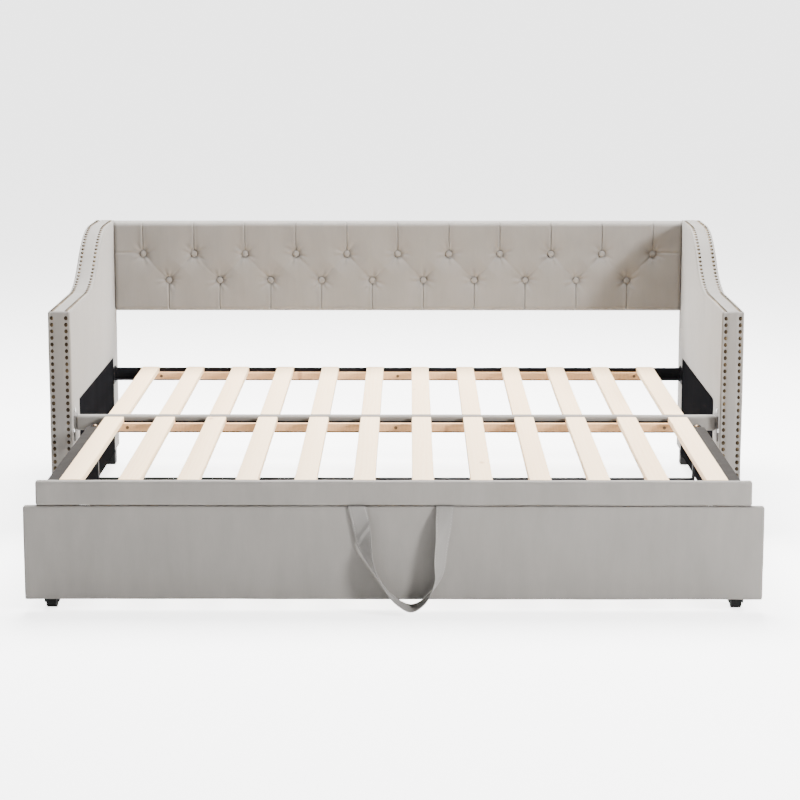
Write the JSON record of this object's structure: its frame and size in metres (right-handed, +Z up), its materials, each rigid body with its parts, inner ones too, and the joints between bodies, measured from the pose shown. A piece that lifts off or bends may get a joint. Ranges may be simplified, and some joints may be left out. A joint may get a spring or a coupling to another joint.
{
  "type": "trundle bed",
  "caption": "Upholstered daybed with curved studded arms, a tufted back and slatted deck, and a pull-out trundle whose slatted deck pops up level with it.",
  "frame": {"origin": "on the floor, at the middle of the whole bed with the trundle pulled out and raised", "axes": "+X to the right as seen from the trundle, +Y towards the back of the daybed, +Z up"},
  "size_m": [2.094, 2.11, 0.8523],
  "materials": {
    "velvet": "short-pile velvet",
    "strap_velvet": "folded velvet strap with stitched edges",
    "lining": "non-woven lining",
    "frame_timber": "sawn",
    "slat_timber": "planed pale softwood",
    "nail_bronze": "antique bronze",
    "black_plastic": "moulded",
    "dark_screw": "bronzed screw heads",
    "bright_steel": "zinc plated",
    "grey_steel": "satin powder coat",
    "black_steel": "satin powder coat"
  },
  "bodies": {
    "daybed": {"arm_frame_left": "frame_timber", "arm_cover_left": "velvet", "arm_lining_left": "lining", "arm_feet_left": "black_plastic", "arm_nails_left": "nail_bronze", "arm_frame_right": "frame_timber", "arm_cover_right": "velvet", "arm_lining_right": "lining", "arm_feet_right": "black_plastic", "arm_nails_right": "nail_bronze", "back_board": "frame_timber", "back_cover": "velvet", "back_buttons": "velvet", "rear_rail": "black_steel", "rear_cleat": "slat_timber", "rear_cleat_screws": "dark_screw", "rear_rail_brackets": "black_steel", "front_rail_board": "frame_timber", "front_rail_cover": "velvet", "front_cleat": "slat_timber", "front_cleat_screws": "dark_screw", "front_rail_brackets": "black_steel", "bracket_screws": "bright_steel", "main_slats": "slat_timber"},
    "trundle_base": {"panel_board": "frame_timber", "panel_cover": "velvet", "pull_strap": "strap_velvet", "strap_tails": "strap_velvet", "strap_clamps": "bright_steel", "base_front_tube": "black_steel", "base_rear_tube": "black_steel", "base_pivot_bolts": "bright_steel", "runner_left": "black_steel", "runner_right": "black_steel", "caster_fork_front_left": "black_steel", "caster_fork_front_right": "black_steel", "caster_fork_rear_left": "black_steel", "caster_fork_rear_right": "black_steel", "axle_front_left": "black_steel", "axle_front_right": "black_steel", "axle_rear_left": "black_steel", "axle_rear_right": "black_steel"},
    "front_swing": {"swing_frame_front": "black_steel"},
    "rear_swing": {"swing_frame_rear": "black_steel"},
    "trundle_deck": {"upper_rail_board": "frame_timber", "upper_rail_cover": "velvet", "trundle_rear_angle": "black_steel", "trundle_front_cleat": "slat_timber", "trundle_rear_cleat": "slat_timber", "trundle_cleat_screws": "dark_screw", "deck_pivot_bolts": "bright_steel", "corner_brackets": "black_steel", "corner_bolts": "bright_steel", "trundle_slats": "slat_timber", "side_rail_left": "grey_steel", "side_rail_right": "grey_steel"},
    "wheel_front_left": {"wheel_front_left": "black_plastic"},
    "wheel_front_right": {"wheel_front_right": "black_plastic"},
    "wheel_rear_left": {"wheel_rear_left": "black_plastic"},
    "wheel_rear_right": {"wheel_rear_right": "black_plastic"}
  },
  "joints": [
    {"name": "trundle_roll", "type": "slide", "parent": "daybed", "child": "trundle_base", "axis": [0, -1, 0], "range_m": [0, 0.35]},
    {"name": "front_swing_turn", "type": "hinge", "parent": "trundle_base", "child": "front_swing", "pos_m": [0, -0.742, 0.075], "axis": [-1, 0, 0], "range_deg": [0, 78.5]},
    {"name": "deck_level", "type": "hinge", "parent": "front_swing", "child": "trundle_deck", "pos_m": [0, -0.7637, 0.323], "axis": [1, 0, 0], "range_deg": [0, 78.5]},
    {"name": "rear_swing_turn", "type": "hinge", "parent": "trundle_base", "child": "rear_swing", "pos_m": [0, -0.232, 0.075], "axis": [-1, 0, 0], "range_deg": [0, 78.5]},
    {"name": "wheel_front_left_roll", "type": "hinge", "parent": "trundle_base", "child": "wheel_front_left", "pos_m": [-0.915, -0.942, 0.025], "axis": [1, 0, 0], "range_deg": [0, 805]},
    {"name": "wheel_front_right_roll", "type": "hinge", "parent": "trundle_base", "child": "wheel_front_right", "pos_m": [0.915, -0.942, 0.025], "axis": [1, 0, 0], "range_deg": [0, 805]},
    {"name": "wheel_rear_left_roll", "type": "hinge", "parent": "trundle_base", "child": "wheel_rear_left", "pos_m": [-0.915, -0.102, 0.025], "axis": [1, 0, 0], "range_deg": [0, 805]},
    {"name": "wheel_rear_right_roll", "type": "hinge", "parent": "trundle_base", "child": "wheel_rear_right", "pos_m": [0.915, -0.102, 0.025], "axis": [1, 0, 0], "range_deg": [0, 805]}
  ],
  "couplings": [
    {"joint": "front_swing_turn", "follows": "trundle_roll", "rad_per_m": 3.8896},
    {"joint": "deck_level", "follows": "trundle_roll", "rad_per_m": 3.8896},
    {"joint": "rear_swing_turn", "follows": "trundle_roll", "rad_per_m": 3.8896},
    {"joint": "wheel_front_left_roll", "follows": "trundle_roll", "rad_per_m": 40},
    {"joint": "wheel_front_right_roll", "follows": "trundle_roll", "rad_per_m": 40},
    {"joint": "wheel_rear_left_roll", "follows": "trundle_roll", "rad_per_m": 40},
    {"joint": "wheel_rear_right_roll", "follows": "trundle_roll", "rad_per_m": 40}
  ]
}
